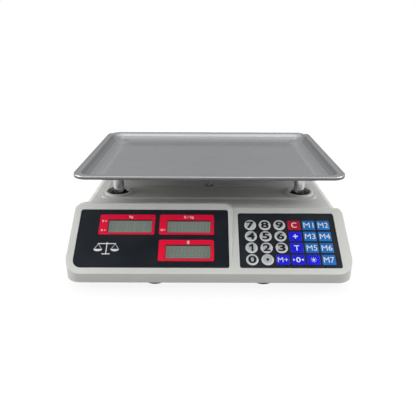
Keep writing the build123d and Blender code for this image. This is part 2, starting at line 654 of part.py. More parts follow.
# --- fasteners -----------------------------------------------------------------------------
def bolt(x, y, z_under, direction, radius, length, head_radius, head_height):
    """Socket-head bolt; its shank points up (direction 1) or down (-1) from z_under."""
    def section(section_radius, start, end):
        low, high = sorted((z_under + direction * start, z_under + direction * end))
        return z_cylinder(x, y, section_radius, low, high)

    return largest(section(radius, -0.2, length) + section(head_radius, -head_height, 0)
                   - section(head_radius * 0.5, -head_height - 1, -head_height * 0.45))


def board_screw(plane, x, y, under, radius, length, head_radius, head_height):
    """Screw behind a sloped board, shank pointing outward."""
    screw = disc(plane, x, y, radius, under - 0.1, under + length) \
        + disc(plane, x, y, head_radius, under - head_height, under)
    return largest(screw - disc(plane, x, y, head_radius * 0.45, under - head_height - 1,
                                under - head_height * 0.5))


def board_screws():
    size = dict(radius=1.2, length=6.0, head_radius=2.3, head_height=1.6)
    key_size = dict(radius=1.0, length=2.9, head_radius=2.0, head_height=1.3)
    screws = []
    for plane, places, front, sizes in (
            (LENS_PLANE, DISPLAY_BOSSES, DISPLAY_BOARD_FRONT, size),
            (REAR_PLANE, REAR_BOSSES, REAR_BOARD_FRONT, size),
            (KEY_PLANE, KEY_SCREWS, KEY_BOARD_FRONT, key_size)):
        screws += [board_screw(plane, x, y, front - BOARD_T, **sizes) for x, y in places]
    return screws + [bolt(x, y, BOARD_Z + BOARD_T, -1, **size) for x, y in BOARD_POSTS]


# --- flat cables ---------------------------------------------------------------------------
def cable(x, width, points, thickness=0.6):
    """Flat strip centred on x that follows (y, z) points."""
    upper, lower = [], []
    for i, (y, z) in enumerate(points):
        before = points[max(i - 1, 0)]
        after = points[min(i + 1, len(points) - 1)]
        run, rise = after[0] - before[0], after[1] - before[1]
        span = math.hypot(run, rise)
        offset_y, offset_z = -rise / span * thickness / 2, run / span * thickness / 2
        upper.append((y + offset_y, z + offset_z))
        lower.append((y - offset_y, z - offset_z))
    plane = Plane(origin=(x - width / 2, 0, 0), x_dir=(0, 1, 0), z_dir=(1, 0, 0))
    strip = make_face(Polyline(*(upper + lower[::-1]), close=True))
    return largest(extrude(plane * strip, amount=width, dir=(1, 0, 0)))


def ribbon_cables():
    def board_point(plane, up_slope, height):
        point = plane.from_local_coords(Vector(0, up_slope, height))
        return point.Y, point.Z

    y, z = board_point(LENS_PLANE, 38, -11.0)
    display = cable(-104, 16, [(-79, 25.0), (-72.0, 27), (-72.0, 33), (y + 4, z - 4.6),
                               (y + 0.3, z + 0.2)])
    y, z = board_point(KEY_PLANE, 30, -4.6)
    keypad = cable(80, 18, [(y + 0.3, z - 0.3), (y + 4, z - 8), (-112, 14), (-100, 12.8)])
    y, z = board_point(REAR_PLANE, 26, -10.3)
    rear = cable(-88, 14, [(y - 0.4, z - 0.4), (y - 6, z - 7), (118, 20), (100, 12.8),
                           (60, 12.8)])
    return [display, keypad, rear]


# --- levelling feet ---------------------------------------------------------------------------
def foot_sole(x, y):
    sole = z_cylinder(x, y, FOOT_R, 0, FOOT_H)
    sole = soft_fillet(sole, edges_at_z(sole, 0), 1.6)
    sole = soft_fillet(sole, edges_at_z(sole, FOOT_H), 1.2)
    return largest(sole - z_cylinder(x, y, 6.6, 2.6, 5.75)
                   - z_cylinder(x, y, STUD_R + 0.06, 2.6, 9))


def foot_stud(x, y):
    return largest(z_cylinder(x, y, STUD_R, 3, 19.8) + z_cylinder(x, y, 6.54, 2.65, 5.7))


# --- write ---------------------------------------------------------------------------------
for make_piece in (top_case, base_shell, display_lens, display_board, keypad_overlay,
                   keypad_board, bubble_level, load_cell, cell_spacer, spider, pan,
                   main_board, battery, battery_cover, power_inlet, switch_housing,
                   power_rocker, rear_lens, rear_board):
    write(make_piece.__name__, make_piece())
write("front_lcds", *lcds(LENS_PLANE, LCD_CENTRES, front=-3.2))
write("rear_lcds", *lcds(REAR_PLANE, REAR_CENTRES, front=-2.8))
write("cell_bolts", *[bolt(x, PAN_Y, BASE_Z0, 1, radius=3.0, length=27.5,
                           head_radius=5.0, head_height=3.0) for x in FIXED_BOLTS_X])
write("spider_bolts", *[bolt(x, PAN_Y, SPIDER_Z1, -1, radius=3.0, length=21.0,
                             head_radius=5.0, head_height=5.0) for x in FREE_BOLTS_X])
write("case_screws", *[bolt(x, y, CASE_SCREW_Z, 1, radius=1.6, length=16.0,
                            head_radius=3.2, head_height=2.4) for x, y in CASE_BOSSES])
write("pan_posts", *[pan_post(x, y) for x, y in POSTS])
write("post_boots", *[post_boot(x, y) for x, y in POSTS])
write("board_screws", *board_screws())
write("ribbon_cables", *ribbon_cables())
for name, x, y, is_round in key_places():
    write("key_" + name, key_cap(x, y, is_round))
for corner, (x, y) in FEET.items():
    write("foot_sole_" + corner, foot_sole(x, y))
    write("foot_stud_" + corner, foot_stud(x, y))
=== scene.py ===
# Counter scale with a stainless pan, a sloping front console and a rear display.
# It stands on z = 0: X runs to the right, the console and camera are towards -Y,
# the rear display faces +Y. Print is placed in millimetres on the faces of the CAD parts.
import json
import math

import bmesh
import bpy
from mathutils import Matrix, Vector


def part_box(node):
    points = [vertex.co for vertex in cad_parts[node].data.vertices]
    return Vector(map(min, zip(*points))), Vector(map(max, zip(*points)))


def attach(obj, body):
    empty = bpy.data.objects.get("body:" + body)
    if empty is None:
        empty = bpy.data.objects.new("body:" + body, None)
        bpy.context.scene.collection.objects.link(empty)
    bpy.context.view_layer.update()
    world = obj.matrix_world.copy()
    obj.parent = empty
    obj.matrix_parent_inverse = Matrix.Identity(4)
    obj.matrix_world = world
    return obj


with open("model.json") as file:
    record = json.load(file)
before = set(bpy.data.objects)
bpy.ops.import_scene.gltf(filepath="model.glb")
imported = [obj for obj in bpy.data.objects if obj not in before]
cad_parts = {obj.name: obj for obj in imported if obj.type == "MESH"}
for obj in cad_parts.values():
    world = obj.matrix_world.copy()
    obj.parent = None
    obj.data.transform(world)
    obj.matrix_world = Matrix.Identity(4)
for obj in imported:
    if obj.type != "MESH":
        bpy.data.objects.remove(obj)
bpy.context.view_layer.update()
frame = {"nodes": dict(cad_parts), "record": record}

NODES = frame["nodes"]
SLOT_OF = {part["node"]: part["material_slot"] for part in frame["record"]["subparts"]}
BODY_OF = {node: body for body, nodes in frame["record"]["behaviour"]["bodies"].items()
           for node in nodes}
MM = 0.001
COLLECTION = bpy.context.scene.collection

# Clear display windows: u0, v0, u1, v1 in mm on the lens face
FRONT_WINDOWS = [
    (-125.5, 46.9, -71.3, 64.5),
    (-52.15, 47.0, 1.4, 63.6),
    (-52.4, 12.4, 1.4, 29.9),
]
REAR_PITCH, REAR_CENTRE_V = 62.0, 20.0
REAR_HALF_WIDTH, REAR_HALF_HEIGHT = 27.0, 9.0
REAR_WINDOWS = [
    (u - REAR_HALF_WIDTH, REAR_CENTRE_V - REAR_HALF_HEIGHT,
     u + REAR_HALF_WIDTH, REAR_CENTRE_V + REAR_HALF_HEIGHT)
    for u in (-REAR_PITCH, 0.0, REAR_PITCH)
]

INK_BASE, INK_TOP = -0.02, 0.07      # printed frames, from just inside the face, mm
LETTER_THICK = 0.06                  # printed characters, mm
FULL_TURN = (0.0, 360.0)
EMBOSS_ARC = (28.0, 152.0)           # raised arc at the upper edge of a key, degrees


# --------------------------------------------------------------------------
# node trees
# --------------------------------------------------------------------------
def srgb(*rgb):
    """Linear RGBA from 0-255 sRGB values."""
    out = []
    for c in rgb:
        c /= 255.0
        out.append(c / 12.92 if c <= 0.04045 else ((c + 0.055) / 1.055) ** 2.4)
    return (*out, 1.0)


def shade(colour, factor):
    return (colour[0] * factor, colour[1] * factor, colour[2] * factor, 1.0)


class Tree:
    """Short calls for building one node tree. Inputs may be sockets or plain values."""

    def __init__(self, tree, output_kind):
        self.nodes, self.links = tree.nodes, tree.links
        self.nodes.clear()
        self.output = self.nodes.new(output_kind)

    def link(self, source, socket):
        if hasattr(source, "is_output"):
            self.links.new(source, socket)
        else:
            socket.default_value = source

    def node(self, kind, *inputs, out=0, props=None, **named):
        """Add a node, fill its inputs by place and by name, and return one output."""
        node = self.nodes.new(kind)
        for key, value in (props or {}).items():
            setattr(node, key, value)
        for i, source in enumerate(inputs):
            self.link(source, node.inputs[i])
        for key, source in named.items():
            self.link(source, node.inputs[key.replace("_", " ")])
        return node.outputs[out]

    def finish(self, shader):
        self.link(shader, self.output.inputs[0])


class Mat(Tree):
    """A material round one Principled shader."""

    def __init__(self, name, colour):
        self.material = bpy.data.materials.new(name)
        self.material.use_nodes = True
        self.material.diffuse_color = colour
        super().__init__(self.material.node_tree, "ShaderNodeOutputMaterial")
        self.shader = self.nodes.new("ShaderNodeBsdfPrincipled")
        self.set(Base_Color=colour)
        self.finish(self.shader.outputs[0])
        self.object_coords = None

    def set(self, **inputs):
        for key, source in inputs.items():
            self.link(source, self.shader.inputs[key.replace("_", " ")])
        return self

    def source_of(self, name):
        """The socket that now feeds a shader input."""
        return self.shader.inputs[name].links[0].from_socket

    def position(self):
        if self.object_coords is None:
            self.object_coords = self.node("ShaderNodeTexCoord", out="Object")
        return self.object_coords

    def normal(self):
        return self.node("ShaderNodeNewGeometry", out="Normal")

    def part(self, vector, axis):
        return self.node("ShaderNodeSeparateXYZ", vector, out=axis)

    def math(self, operation, a, b=0.0):
        return self.node("ShaderNodeMath", a, b, 0.0, props={"operation": operation})

    def vector_math(self, operation, *inputs):
        out = "Value" if operation in ("DOT_PRODUCT", "LENGTH") else "Vector"
        return self.node("ShaderNodeVectorMath", *inputs, out=out,
                         props={"operation": operation})

    def noise(self, scale, detail=3.0, rough=0.5, stretch=None):
        vector = self.position()
        if stretch is not None:
            vector = self.vector_math("MULTIPLY", vector, stretch)
        return self.node("ShaderNodeTexNoise", Vector=vector, Scale=scale, Detail=detail,
                         Roughness=rough)

    def remap(self, value, span=(0.3, 0.7), to=(0.0, 1.0)):
        """Clamped range map; the default span takes in the busy middle of a noise."""
        return self.node("ShaderNodeMapRange", value, *span, *to)

    def mix(self, amount, low, high):
        node = self.nodes.new("ShaderNodeMix")
        node.data_type = "RGBA"
        # 0 is the factor, 6 and 7 are the colour inputs, 2 the colour output
        for i, source in ((0, amount), (6, low), (7, high)):
            self.link(source, node.inputs[i])
        return node.outputs[2]

    def bump(self, height, strength, distance, **normal):
        return self.node("ShaderNodeBump", Strength=strength, Distance=distance,
                         Height=height, **normal)


# --------------------------------------------------------------------------
# material families
# --------------------------------------------------------------------------
def moulded(name, colour, rough=0.42, grain=0.5, grain_mm=0.45, vary=0.06, coat=0.0, dust=0.0):
    """Grained moulded plastic: fine grain, slight tone drift, satin gloss."""
    mat = Mat(name, colour)
    drift = mat.noise(scale=14.0, rough=0.55)
    fine = mat.noise(scale=1000.0 / grain_mm, detail=2.0, rough=0.6)
    tone = mat.mix(mat.remap(drift), shade(colour, 1 - vary), shade(colour, 1 + vary * 0.6))
    tone = mat.mix(mat.remap(fine, span=(0.35, 0.75), to=(0.0, 0.10)), tone,
                   shade(colour, 0.72))
    if dust:
        upward = mat.remap(mat.part(mat.normal(), "Z"), span=(0.5, 1.0))
        spots = mat.remap(mat.noise(scale=160.0, detail=6.0, rough=0.65),
                          span=(0.55, 0.8), to=(0.0, dust))
        tone = mat.mix(mat.math("MULTIPLY", upward, spots), tone, srgb(226, 222, 212))
    gloss = mat.noise(scale=60.0, detail=4.0, rough=0.6)
    mat.set(Base_Color=tone, IOR=1.5,
            Roughness=mat.remap(gloss, to=(rough - 0.05, rough + 0.07)),
            Normal=mat.bump(fine, strength=grain, distance=0.00004))
    if coat:
        mat.set(Coat_Weight=coat, Coat_Roughness=0.12)
    return mat


def metal(name, colour, rough, grain_scale, brush=None, aniso=0.0, bump=0.25, vary=0.08,
          grime=0.0):
    """Metal with a brushed surface, or an even grain where brush is left out."""
    mat = Mat(name, colour)
    drift = mat.noise(scale=18.0, detail=4.0, rough=0.6)
    if brush is None:
        grain = mat.noise(scale=grain_scale, rough=0.6)
    else:
        grain = mat.noise(scale=grain_scale, detail=4.0, rough=0.7, stretch=brush)
    tone = mat.mix(mat.remap(grain, span=(0.25, 0.75)),
                   shade(colour, 1 - vary), shade(colour, 1 + vary))
    tone = mat.mix(mat.remap(drift, span=(0.35, 0.7), to=(0.0, 0.35)), tone,
                   shade(colour, 1 - vary * 1.5))
    if grime:
        spots = mat.noise(scale=90.0, detail=5.0, rough=0.7)
        tone = mat.mix(mat.remap(spots, span=(0.6, 0.85), to=(0.0, grime)), tone,
                       shade(colour, 0.5))
    fine_rough = mat.remap(grain, span=(0.25, 0.75), to=(rough * 0.82, rough * 1.2))
    mat.set(Base_Color=tone, Metallic=1.0,
            Roughness=mat.math("ADD", fine_rough, mat.remap(drift, to=(-0.02, 0.03))),
            Normal=mat.bump(grain, strength=bump, distance=0.00002))
    if aniso:
        mat.set(Anisotropic=aniso,
                Tangent=mat.node("ShaderNodeCombineXYZ", X=0.0, Y=1.0, Z=0.0))
    return mat


def ink(name, colour, rough=0.3, coat=0.6, vary=0.05, painted_shade_grade=None):
    """Screen-printed ink under a clear film.

    painted_shade_grade = (axis, (low, high) along it, colour at low, colour at high), a painted
    ramp from light to shade over the ink."""
    mat = Mat(name, colour)
    grain = mat.noise(scale=2600.0, detail=2.0, rough=0.6)
    base = colour
    if painted_shade_grade:
        axis, span, low_colour, high_colour = painted_shade_grade
        along = mat.vector_math("DOT_PRODUCT", mat.position(), axis)
        base = mat.mix(mat.remap(along, span=span), low_colour, high_colour)
    tone = mat.mix(mat.remap(grain, span=(0.35, 0.7), to=(0.0, vary * 4)), base,
                   shade(colour, 0.75))
    tone = mat.mix(mat.remap(mat.noise(scale=40.0), to=(0.0, vary)), tone, shade(colour, 1.3))
    return mat.set(Base_Color=tone,
                   Roughness=mat.remap(grain, to=(rough - 0.04, rough + 0.06)),
                   Normal=mat.bump(grain, strength=0.12, distance=0.00002),
                   Coat_Weight=coat, Coat_Roughness=0.18)


def key_face(name, colour, rim, slant_shade):
    """Printed key face colour, with a painted highlight lighter towards its rim and painted shade
    darker diagonally towards the slant colour.
    """
    mat = Mat(name, colour)
    generated = mat.node("ShaderNodeTexCoord", out="Generated")
    offset = mat.vector_math("SUBTRACT", generated, (0.5, 0.5, 0.5))
    offset = mat.vector_math("MULTIPLY", offset, (1.0, 1.0, 0.0))
    radius = mat.vector_math("LENGTH", offset)
    across = mat.part(generated, "X")
    along = mat.part(generated, "Y")
    grain = mat.noise(scale=2600.0, rough=0.6)
    # painted highlight: lighter towards the rim
    tone = mat.mix(mat.remap(radius, span=(0.30, 0.46)), colour, rim)
    # painted shade: darker diagonally towards the upper left
    diagonal = mat.math("SUBTRACT", along, mat.math("MULTIPLY", across, 0.6))
    tone = mat.mix(mat.remap(diagonal, span=(-0.4, 0.9), to=(0.0, 0.35)), tone, slant_shade)
    tone = mat.mix(mat.remap(grain, span=(0.35, 0.7), to=(0.0, 0.12)), tone,
                   shade(colour, 0.7))
    return mat.set(Base_Color=tone, Roughness=mat.remap(grain, to=(0.25, 0.33)),
                   Normal=mat.bump(grain, strength=0.12, distance=0.00002),
                   Coat_Weight=0.5, Coat_Roughness=0.15)


# --------------------------------------------------------------------------
# faces that carry print
# --------------------------------------------------------------------------
class Face:
    """The broad outward face of a slab-like node.

    u runs along X (+X on the front faces, -X on the rear), v up the slope, n outward."""

    def __init__(self, node, toward):
        mesh = NODES[node].data
        toward = Vector(toward).normalized()
        groups = {}          # rounded normal: [area, area-weighted normal]
        for p in mesh.polygons:
            if p.normal.dot(toward) > 0.55 and abs(p.normal.x) < 0.02:
                key = (round(p.normal.y, 3), round(p.normal.z, 3))
                group = groups.setdefault(key, [0.0, Vector((0, 0, 0))])
                group[0] += p.area
                group[1] += p.normal * p.area
        broad = max(groups.values(), key=lambda group: group[0])[1]
        self.n = Vector((0.0, broad.y, broad.z)).normalized()
        from_front = self.n.y < 0.3 and toward.y <= 0
        self.u = Vector((1, 0, 0)) if from_front else Vector((-1, 0, 0))
        self.v = self.n.cross(self.u)
        points = [vert.co for vert in mesh.vertices]
        self.w = max(point.dot(self.n) for point in points)
        self.v0 = min(point.dot(self.v) for point in points
                      if point.dot(self.n) > self.w - 5e-5)

    def at(self, u, v, w=0.0):
        """Point from mm: u in X, v up the slope from the lower edge, w above the face."""
        return self.u * (u * MM) + self.v * (self.v0 + v * MM) + self.n * (self.w + w * MM)

    def height_of(self, node):
        """Height of a node's highest point above this face, in mm; negative below it."""
        return (max(vert.co.dot(self.n) for vert in NODES[node].data.vertices) - self.w) / MM


class Flat:
    """A horizontal face round a given point."""

    def __init__(self, x, y, z):
        self.origin = Vector((x, y, z))

    def at(self, u, v, w=0.0):
        return self.origin + Vector((u, v, w)) * MM


LENS = Face("display_lens", (0, -0.6, 0.8))
FILM = Face("keypad_overlay", (0, -0.5, 0.85))
REAR = Face("rear_lens", (0, 0.7, 0.7))


# --------------------------------------------------------------------------
# mesh pieces
# --------------------------------------------------------------------------
def place(name, mesh, mat, body):
    """Put a mesh in the scene with its material and tie it to its body."""
    obj = bpy.data.objects.new(name, mesh)
    COLLECTION.objects.link(obj)
    mesh.materials.append(mat.material)
    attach(obj, body)
    return obj


def clean(mesh, distance):
    """Merge coincident vertices and turn all normals outward."""
    bm = bmesh.new()
    bm.from_mesh(mesh)
    bmesh.ops.remove_doubles(bm, verts=bm.verts, dist=distance)
    bmesh.ops.recalc_face_normals(bm, faces=bm.faces)
    bm.to_mesh(mesh)
    bm.free()


def soften(mesh, angle):
    """Smooth shading, with edges steeper than the angle in degrees kept sharp."""
    bm = bmesh.new()
    bm.from_mesh(mesh)
    limit = math.radians(angle)
    for face in bm.faces:
        face.smooth = True
    for edge in bm.edges:
        edge.smooth = not (len(edge.link_faces) == 2 and edge.calc_face_angle(0.0) > limit)
    bm.to_mesh(mesh)
    bm.free()


def add(name, verts, faces, mat, body, angle=35.0):
    mesh = bpy.data.meshes.new(name)
    mesh.from_pydata([tuple(v) for v in verts], [], faces)
    clean(mesh, 1e-7)
    soften(mesh, angle)
    return place(name, mesh, mat, body)


def quad_bands(rings, count):
    """Quads joining each closed ring of count vertices to the next."""
    faces = []
    for r in range(rings - 1):
        for i in range(count):
            j = (i + 1) % count
            faces.append((r * count + i, r * count + j,
                          (r + 1) * count + j, (r + 1) * count + i))
    return faces


def rounded(u0, v0, u1, v1, radius, steps=6):
    """Counter-clockwise outline of a rounded rectangle."""
    corners = ((u0 + radius, v0 + radius, 180), (u1 - radius, v0 + radius, 270),
               (u1 - radius, v1 - radius, 0), (u0 + radius, v1 - radius, 90))
    points = []
    for u, v, start in corners:
        for k in range(steps + 1):
            a = math.radians(start + 90.0 * k / steps)
            points.append((u + radius * math.cos(a), v + radius * math.sin(a)))
    return points


def round_points(u, v, radius, degrees):
    """Points on a circle at each of the given angles."""
    return [(u + radius * math.cos(math.radians(a)), v + radius * math.sin(math.radians(a)))
            for a in degrees]


def plate(name, face, outline, low, high, mat, body="case", hole=None):
    """A thin closed plate on a face, with an optional hole of the same point count."""
    count = len(outline)
    rings = [(outline, low), (outline, high)]
    if hole is not None:
        rings += [(hole, high), (hole, low)]
    verts = [face.at(u, v, w) for points, w in rings for u, v in points]
    faces = quad_bands(len(rings), count)
    last = (len(rings) - 1) * count
    if hole is None:
        faces.append(tuple(last + i for i in range(count)))
        faces.append(tuple(reversed(range(count))))
    else:
        for i in range(count):
            j = (i + 1) % count
            faces.append((last + i, last + j, j, i))
    return add(name, verts, faces, mat, body)


def merge(name, parts, mat, body="case"):
    """Several closed pieces joined into one mesh object."""
    bm = bmesh.new()
    for part in parts:
        mesh = part.data
        bm.from_mesh(mesh)
        bpy.data.objects.remove(part)
        bpy.data.meshes.remove(mesh)
    mesh = bpy.data.meshes.new(name)
    bm.to_mesh(mesh)
    bm.free()
    return place(name, mesh, mat, body)


def lettering(name, text, face, u, v, w, height, mat, body="case", wide=1.0, bold=0.0,
              width=None):
    """Characters as thin closed solids centred on (u, v), with a height and either a
    width in mm or a widening factor."""
    curve = bpy.data.curves.new(name + "_c", "FONT")
    curve.body = text
    curve.extrude = 0.05
    curve.offset = bold
    curve.resolution_u = 6
    source = bpy.data.objects.new(name + "_t", curve)
    COLLECTION.objects.link(source)
    bpy.context.view_layer.update()
    depsgraph = bpy.context.evaluated_depsgraph_get()
    mesh = bpy.data.meshes.new_from_object(source.evaluated_get(depsgraph))
    bpy.data.objects.remove(source)
    bpy.data.curves.remove(curve)

    xs = [vert.co.x for vert in mesh.vertices]
    ys = [vert.co.y for vert in mesh.vertices]
    x0, x1, y0, y1 = min(xs), max(xs), min(ys), max(ys)
    scale_v = height / (y1 - y0)
    scale_u = scale_v * wide if width is None else width / (x1 - x0)
    for vert in mesh.vertices:
        x, y, z = vert.co
        vert.co = face.at(u + (x - (x0 + x1) / 2) * scale_u,
                          v + (y - (y0 + y1) / 2) * scale_v,
                          w + (LETTER_THICK if z > 0 else 0.0))
    clean(mesh, 2e-7)
    mesh.name = name
    mesh.materials.clear()
    return place(name, mesh, mat, body)


# Bead section: offset across in half widths, height in bead heights
BEAD = [(-1.0, -0.25), (-0.92, 0.12), (-0.6, 0.62), (-0.2, 0.95),
        (0.2, 0.95), (0.6, 0.62), (0.92, 0.12), (1.0, -0.25)]


def raised_ring(name, face, u, v, w, radius, half, high, mat, body="case", seg=48,
                arc=FULL_TURN):
    """A low rounded bead in a ring or a tapered arc, closed underneath."""
    full = arc == FULL_TURN
    stations = seg if full else seg + 1
    size = len(BEAD)
    verts, faces = [], []
    for i in range(stations):
        a = math.radians(arc[0] + (arc[1] - arc[0]) * i / seg)
        taper = 1.0
        if not full:
            t = i / seg
            taper = max(0.12, min(1.0, 6.0 * min(t, 1 - t)))
        for across, rise in BEAD:
            r = radius + across * half * (0.4 + 0.6 * taper)
            lift = rise * high * (taper if rise > 0 else 1.0)
            verts.append(face.at(u + r * math.cos(a), v + r * math.sin(a), w + lift))
    for i in range(stations if full else stations - 1):
        j = (i + 1) % stations
        for k in range(size):
            l = (k + 1) % size
            faces.append((i * size + k, i * size + l, j * size + l, j * size + k))
    if not full:
        faces.append(tuple(range(size)))
        faces.append(tuple((stations - 1) * size + k for k in reversed(range(size))))
    return add(name, verts, faces, mat, body, angle=60)


# --------------------------------------------------------------------------
# materials of the CAD parts
# --------------------------------------------------------------------------
def rubber():
    colour = srgb(14, 14, 15)
    mat = Mat("black_rubber", colour)
    grain = mat.noise(scale=700.0, detail=4.0, rough=0.7)
    cloud = mat.noise(scale=45.0, detail=4.0, rough=0.6)
    tone = mat.mix(mat.remap(cloud, span=(0.35, 0.75), to=(0.0, 0.5)), colour,
                   srgb(30, 29, 29))
    return mat.set(Base_Color=tone, Roughness=mat.remap(grain, to=(0.62, 0.8)),
                   Normal=mat.bump(grain, strength=0.4, distance=0.00006),
                   Specular_IOR_Level=0.35)


def stainless():
    """Brushed stainless: long grain along X, faint waviness, light streaks, painted shade and a
    painted highlight line.
    """
    colour = srgb(182, 183, 185)
    mat = metal("brushed_stainless", colour, rough=0.30, brush=(0.018, 1.0, 1.0),
                grain_scale=1500.0, aniso=0.45, bump=0.28, vary=0.05)
    wave = mat.noise(scale=9.0, detail=2.0, stretch=(0.6, 1.0, 1.0))
    streak = mat.noise(scale=90.0, detail=4.0, rough=0.65, stretch=(0.03, 1.0, 1.0))
    tone = mat.mix(mat.remap(streak, span=(0.35, 0.85), to=(0.0, 0.16)),
                   mat.source_of("Base Color"), shade(colour, 0.84))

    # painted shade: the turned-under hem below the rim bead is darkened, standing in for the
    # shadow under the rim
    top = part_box("pan")[1].z
    z = mat.part(mat.position(), "Z")
    normal_z = mat.part(mat.normal(), "Z")
    below = mat.math("MULTIPLY",
                     mat.remap(z, span=(top - 2.6 * MM, top - 1.4 * MM), to=(1.0, 0.0)),
                     mat.remap(normal_z, span=(0.05, 0.35), to=(1.0, 0.0)))
    painted_hem_shade = mat.math("MULTIPLY", below,
                   mat.remap(z, span=(top - 5.4 * MM, top - 5.0 * MM), to=(0.45, 1.0)))
    tone = mat.mix(mat.math("MULTIPLY", painted_hem_shade, 0.9), tone, shade(colour, 0.3))

    # the drawn walls at the sides: painted shade in a darker band where the wall faces sideways,
    # with a painted highlight line at its foot
    normal_x = mat.math("ABSOLUTE", mat.part(mat.normal(), "X"))
    wall = mat.math("MULTIPLY",
                    mat.remap(z, span=(top - 1.3 * MM, top - 0.9 * MM), to=(1.0, 0.0)),
                    mat.remap(normal_z, span=(0.0, 0.1)))
    # painted shade: the band darkens the wall where it faces sideways
    band = mat.math("MULTIPLY", wall, mat.remap(normal_x, span=(0.42, 0.70), to=(0.0, 0.62)))
    foot_highlight_span = mat.math("MULTIPLY", mat.remap(normal_x, span=(0.05, 0.14)),
                    mat.remap(normal_x, span=(0.22, 0.34), to=(0.5, 0.0)))
    # painted highlight: a lighter line at the foot of the wall
    painted_foot_highlight = mat.math("MULTIPLY", wall, foot_highlight_span)
    tone = mat.mix(painted_foot_highlight, mat.mix(band, tone, shade(colour, 0.5)), shade(colour, 1.4))
    return mat.set(Base_Color=tone,
                   # the hem's painted shade also turns the metal sheen down and the roughness up
                   # there
                   Metallic=mat.remap(painted_hem_shade, span=(0.0, 1.0), to=(1.0, 0.35)),
                   Roughness=mat.math("ADD", mat.source_of("Roughness"),
                                      mat.math("MULTIPLY", painted_hem_shade, 0.35)),
                   Normal=mat.bump(wave, strength=0.16, distance=0.004,
                                   Normal=mat.source_of("Normal")))


def board():
    """Solder-masked circuit board: a brick pattern of mask tones with round bare pads."""
    mat = Mat("circuit_board_mask", srgb(20, 84, 48))
    position = mat.position()
    cells = mat.node("ShaderNodeTexBrick", props={"offset": 0.5}, Vector=position,
                     Color1=srgb(24, 96, 54), Color2=srgb(16, 74, 42), Mortar=srgb(12, 58, 34),
                     Scale=260.0, Mortar_Size=0.06, Brick_Width=1.4, Row_Height=0.32)
    cloud = mat.noise(scale=120.0)
    dots = mat.node("ShaderNodeTexVoronoi", Vector=position, Scale=330.0)
    pad = mat.remap(dots, span=(0.12, 0.16), to=(1.0, 0.0))
    tone = mat.mix(mat.remap(cloud, span=(0.35, 0.7), to=(0.0, 0.5)), cells,
                   srgb(18, 70, 40))
    tone = mat.mix(pad, tone, srgb(206, 202, 186))
    return mat.set(Base_Color=tone, Metallic=mat.math("MULTIPLY", pad, 0.8),
                   Roughness=mat.remap(cloud, to=(0.28, 0.4)),
                   Normal=mat.bump(cells, strength=0.25, distance=0.00005))


def film():
    """Textured keypad film, near-black."""
    mat = Mat("keypad_film", srgb(30, 34, 40))
    fine = mat.noise(scale=3800.0, detail=2.0, rough=0.6)
    cloud = mat.noise(scale=26.0, rough=0.6)
    return mat.set(Base_Color=mat.mix(mat.remap(cloud), srgb(24, 28, 34), srgb(34, 39, 45)),
                   Roughness=mat.remap(cloud, to=(0.26, 0.34)),
                   Normal=mat.bump(fine, strength=0.2, distance=0.00003),
                   Coat_Weight=0.25, Coat_Roughness=0.2)


def lcd():
    """Blank reflective display: pale polariser, faint bands, glassy surface, and a faint painted
    glow standing in for light that reaches it through the window.
    """
    mat = Mat("lcd_polariser", srgb(146, 152, 143))
    band = mat.noise(scale=420.0, stretch=(1.0, 0.03, 0.03))
    cloud = mat.noise(scale=22.0, detail=2.0)
    tone = mat.mix(mat.remap(band), srgb(176, 180, 174), srgb(190, 193, 188))
    tone = mat.mix(mat.remap(cloud, to=(0.0, 0.5)), tone, srgb(166, 171, 165))
    return mat.set(Base_Color=tone, Roughness=mat.remap(cloud, to=(0.28, 0.36)),
                   Normal=mat.bump(band, strength=0.03, distance=0.00002),
                   Coat_Weight=0.4, Coat_Roughness=0.08,
                   Emission_Color=LCD_PAINTED_GLOW, Emission_Strength=0.105)


def vial():
    """Bubble level: tinted liquid under clear acrylic."""
    mat = Mat("level_vial", srgb(62, 70, 40))
    cloud = mat.noise(scale=90.0)
    return mat.set(Base_Color=mat.mix(mat.remap(cloud), srgb(48, 56, 30), srgb(74, 84, 46)),
                   Roughness=mat.remap(cloud, to=(0.04, 0.09)),
                   Transmission_Weight=0.25, IOR=1.45, Coat_Weight=0.6)


def lens(name, face, windows):
    """Acrylic lens printed near-black, left clear over the display windows."""
    mat = Mat(name, srgb(26, 31, 38))
    position = mat.position()
    u = mat.vector_math("DOT_PRODUCT", position, tuple(face.u))
    v = mat.vector_math("DOT_PRODUCT", position, tuple(face.v))
    u = mat.math("MULTIPLY", u, 1000.0)
    v = mat.math("MULTIPLY", mat.math("SUBTRACT", v, face.v0), 1000.0)

    def outside(along, low, high):
        """Distance beyond a span in mm, negative within it."""
        offset = mat.math("ABSOLUTE", mat.math("SUBTRACT", along, (low + high) / 2))
        return mat.math("SUBTRACT", offset, (high - low) / 2)

    distance = None
    for u0, v0, u1, v1 in windows:
        gap = mat.math("MAXIMUM", outside(u, u0, u1), outside(v, v0, v1))
        distance = gap if distance is None else mat.math("MINIMUM", distance, gap)
    in_window = mat.math("LESS_THAN", distance, 0.0)

    cloud = mat.noise(scale=30.0, rough=0.6)
    haze = mat.noise(scale=2400.0, detail=2.0)
    mat.set(Base_Color=mat.mix(mat.remap(cloud), srgb(21, 26, 33), srgb(30, 35, 43)),
            Roughness=mat.remap(cloud, to=(0.13, 0.2)),
            Normal=mat.bump(haze, strength=0.04, distance=0.00002),
            Coat_Weight=0.5, Coat_Roughness=0.06)
    clear = mat.node("ShaderNodeBsdfTransparent", Color=(0.93, 0.95, 0.94, 1))
    gloss = mat.node("ShaderNodeBsdfGlossy", Roughness=0.05)
    fresnel = mat.node("ShaderNodeFresnel", IOR=1.49)
    window = mat.node("ShaderNodeMixShader", mat.math("MULTIPLY", fresnel, 0.8), clear, gloss)
    mat.finish(mat.node("ShaderNodeMixShader", in_window, mat.shader.outputs[0], window))
    return mat


# colour of the painted glow on the blank displays, which are no lamp
LCD_PAINTED_GLOW = (0.86, 1.0, 0.88, 1.0)

